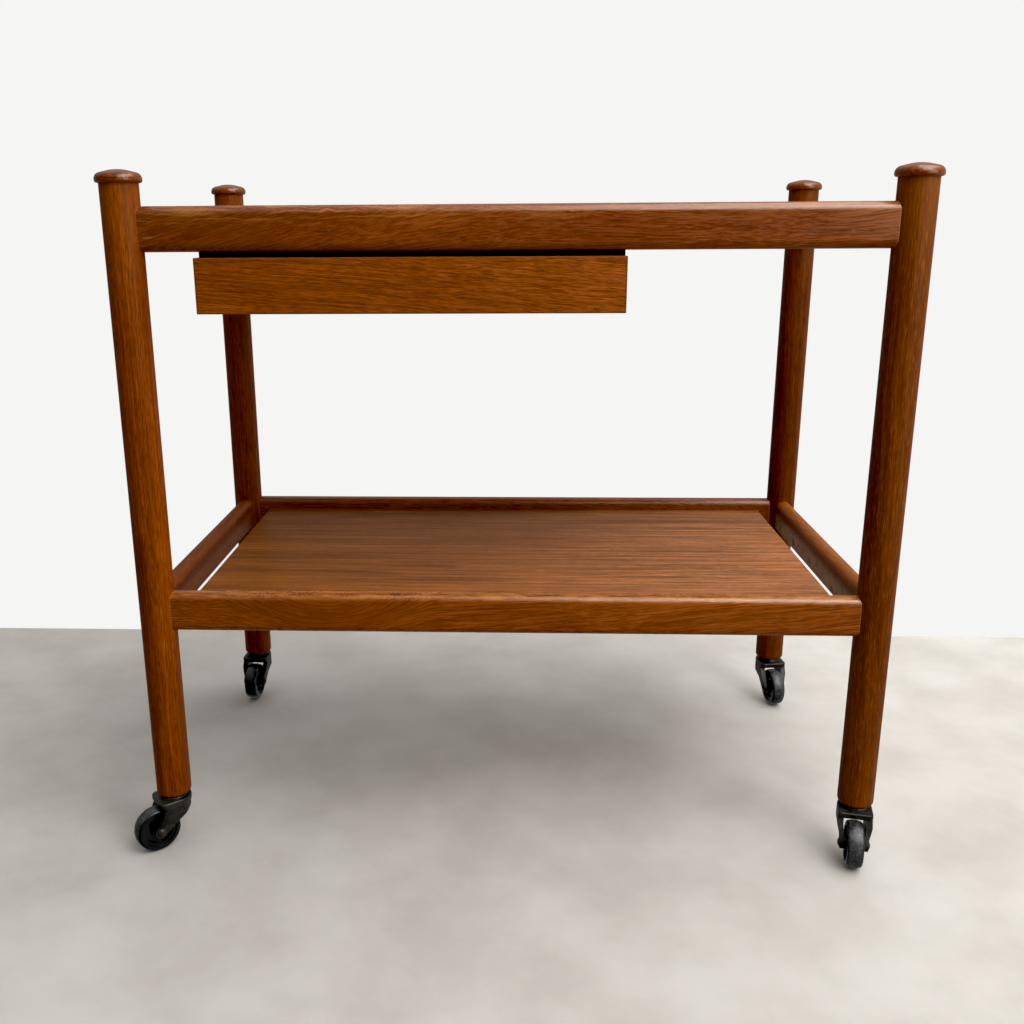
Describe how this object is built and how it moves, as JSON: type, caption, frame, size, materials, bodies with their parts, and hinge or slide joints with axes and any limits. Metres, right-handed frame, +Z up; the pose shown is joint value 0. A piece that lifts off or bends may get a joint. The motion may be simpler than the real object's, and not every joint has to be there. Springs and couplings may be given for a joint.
{
  "type": "bar cart",
  "caption": "Two-tier wooden bar cart with round capped legs, bullnosed rails, a drawer hung under the top and swivel casters.",
  "frame": {"origin": "on the floor, below the middle of the rectangle of leg axes", "axes": "+Z up, X along the cart's length, the drawer opens towards -Y"},
  "size_m": [0.7478, 0.4217, 0.6663],
  "materials": {
    "teak_legs": "oiled satin, grain upright",
    "teak_caps": "oiled, a little glossier",
    "teak_rails": "oiled satin, grain along",
    "teak_shelves": "matt oiled veneer",
    "teak_drawer_front": "oiled satin veneer",
    "drawer_beech": "plain waxed",
    "drawer_plywood": "plain",
    "black_hangers": "black stain, matt",
    "fork_casting": "dark bronzed casting",
    "collar_steel": "dark, worn bright on top",
    "axle_steel": "darkened rivet",
    "bright_steel": "plain zinc",
    "wheel_core": "glossy black",
    "wheel_tyre": "black, tread worn grey"
  },
  "bodies": {
    "frame": {"leg_front_left": "teak_legs", "leg_front_right": "teak_legs", "leg_rear_left": "teak_legs", "leg_rear_right": "teak_legs", "cap_front_left": "teak_caps", "cap_front_right": "teak_caps", "cap_rear_left": "teak_caps", "cap_rear_right": "teak_caps", "upper_rail_front": "teak_rails", "upper_rail_rear": "teak_rails", "upper_rail_left": "teak_rails", "upper_rail_right": "teak_rails", "lower_rail_front": "teak_rails", "lower_rail_rear": "teak_rails", "lower_rail_left": "teak_rails", "lower_rail_right": "teak_rails", "top_panel": "teak_shelves", "lower_panel": "teak_shelves", "hanger_left": "black_hangers", "hanger_right": "black_hangers", "hanger_front_bar": "black_hangers", "hanger_rear_bar": "black_hangers", "hanger_screws": "bright_steel", "caster_socket_front_left": "bright_steel", "caster_socket_front_right": "bright_steel", "caster_socket_rear_left": "bright_steel", "caster_socket_rear_right": "bright_steel"},
    "drawer": {"drawer_front": "teak_drawer_front", "drawer_side_left": "drawer_beech", "drawer_side_right": "drawer_beech", "drawer_back": "drawer_beech", "drawer_bottom": "drawer_plywood"},
    "caster_front_left": {"caster_stem_front_left": "bright_steel", "caster_collar_front_left": "collar_steel", "caster_fork_front_left": "fork_casting", "caster_axle_front_left": "axle_steel"},
    "wheel_front_left": {"wheel_core_front_left": "wheel_core", "wheel_tyre_front_left": "wheel_tyre"},
    "caster_front_right": {"caster_stem_front_right": "bright_steel", "caster_collar_front_right": "collar_steel", "caster_fork_front_right": "fork_casting", "caster_axle_front_right": "axle_steel"},
    "wheel_front_right": {"wheel_core_front_right": "wheel_core", "wheel_tyre_front_right": "wheel_tyre"},
    "caster_rear_left": {"caster_stem_rear_left": "bright_steel", "caster_collar_rear_left": "collar_steel", "caster_fork_rear_left": "fork_casting", "caster_axle_rear_left": "axle_steel"},
    "wheel_rear_left": {"wheel_core_rear_left": "wheel_core", "wheel_tyre_rear_left": "wheel_tyre"},
    "caster_rear_right": {"caster_stem_rear_right": "bright_steel", "caster_collar_rear_right": "collar_steel", "caster_fork_rear_right": "fork_casting", "caster_axle_rear_right": "axle_steel"},
    "wheel_rear_right": {"wheel_core_rear_right": "wheel_core", "wheel_tyre_rear_right": "wheel_tyre"}
  },
  "joints": [
    {"name": "drawer_slide", "type": "slide", "parent": "frame", "child": "drawer", "axis": [0, -1, 0], "range_m": [0, 0.19]},
    {"name": "swivel_front_left", "type": "hinge", "parent": "frame", "child": "caster_front_left", "pos_m": [-0.345, -0.179, 0.0545], "axis": [0, 0, 1], "continuous": true},
    {"name": "wheel_spin_front_left", "type": "hinge", "parent": "caster_front_left", "child": "wheel_front_left", "pos_m": [-0.36132, -0.19222, 0.023], "axis": [0.6293, -0.7771, 0], "continuous": true},
    {"name": "swivel_front_right", "type": "hinge", "parent": "frame", "child": "caster_front_right", "pos_m": [0.345, -0.179, 0.0545], "axis": [0, 0, 1], "continuous": true},
    {"name": "wheel_spin_front_right", "type": "hinge", "parent": "caster_front_right", "child": "wheel_front_right", "pos_m": [0.34045, -0.1995, 0.023], "axis": [0.9763, -0.2164, 0], "continuous": true},
    {"name": "swivel_rear_left", "type": "hinge", "parent": "frame", "child": "caster_rear_left", "pos_m": [-0.345, 0.179, 0.0545], "axis": [0, 0, 1], "continuous": true},
    {"name": "wheel_spin_rear_left", "type": "hinge", "parent": "caster_rear_left", "child": "wheel_rear_left", "pos_m": [-0.34665, 0.15806, 0.023], "axis": [0.9969, -0.0785, 0], "continuous": true},
    {"name": "swivel_rear_right", "type": "hinge", "parent": "frame", "child": "caster_rear_right", "pos_m": [0.345, 0.179, 0.0545], "axis": [0, 0, 1], "continuous": true},
    {"name": "wheel_spin_rear_right", "type": "hinge", "parent": "caster_rear_right", "child": "wheel_rear_right", "pos_m": [0.34792, 0.1582, 0.023], "axis": [0.9903, 0.1392, 0], "continuous": true}
  ]
}
